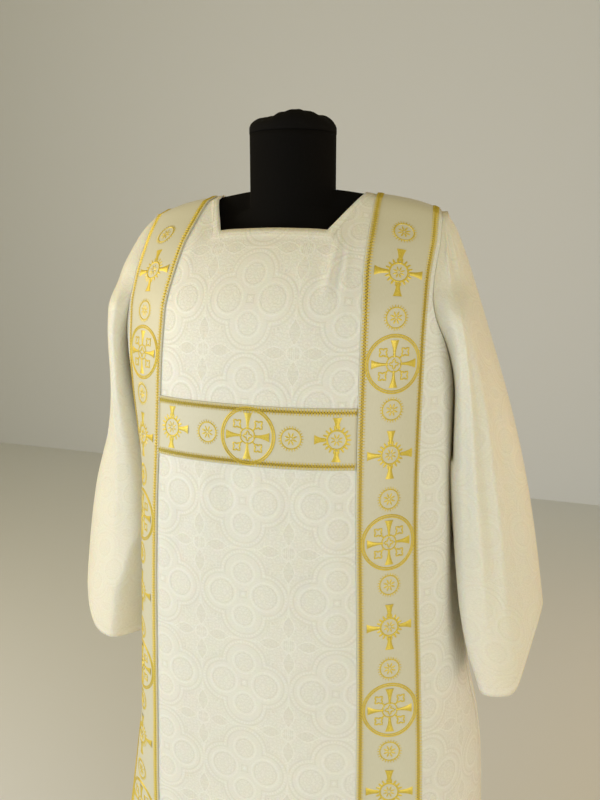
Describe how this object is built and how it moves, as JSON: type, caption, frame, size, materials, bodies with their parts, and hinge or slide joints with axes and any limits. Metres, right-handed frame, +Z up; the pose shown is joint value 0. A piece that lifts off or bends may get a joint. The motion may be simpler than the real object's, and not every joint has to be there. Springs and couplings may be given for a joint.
{
  "type": "dalmatic on a dress form",
  "caption": "Ivory damask dalmatic with wide hanging sleeves, gold-embroidered bands and a trapezoid neck, worn by a limbless dress form on a round base.",
  "frame": {"origin": "centre of the stand's base, on its underside, where it rests on the floor", "axes": "+Z up the pole and the body, -Y out of the garment's front, +X to the wearer's left"},
  "size_m": [0.7598, 0.4084, 1.564],
  "materials": {
    "brocade": "ivory damask, satin figure on a matt ground",
    "band_satin": "cream satin weave with gold embroidery",
    "gold_braid": "gold metallic thread, looped galloon",
    "form_jersey": "black stretch jersey, matt",
    "cap_cloth": "black gathered cotton, matt",
    "form_metal": "black satin lacquer"
  },
  "bodies": {
    "root": {"front": "brocade", "back": "brocade", "sleeve_left": "brocade", "sleeve_right": "brocade", "clavus_left": "band_satin", "clavus_right": "band_satin", "chest_band": "band_satin", "braid_left_inner": "gold_braid", "braid_left_outer": "gold_braid", "braid_right_inner": "gold_braid", "braid_right_outer": "gold_braid", "braid_chest_top": "gold_braid", "braid_chest_bottom": "gold_braid", "form_torso": "form_jersey", "form_cap": "cap_cloth", "form_pole": "form_metal", "form_base": "form_metal"}
  },
  "joints": []
}
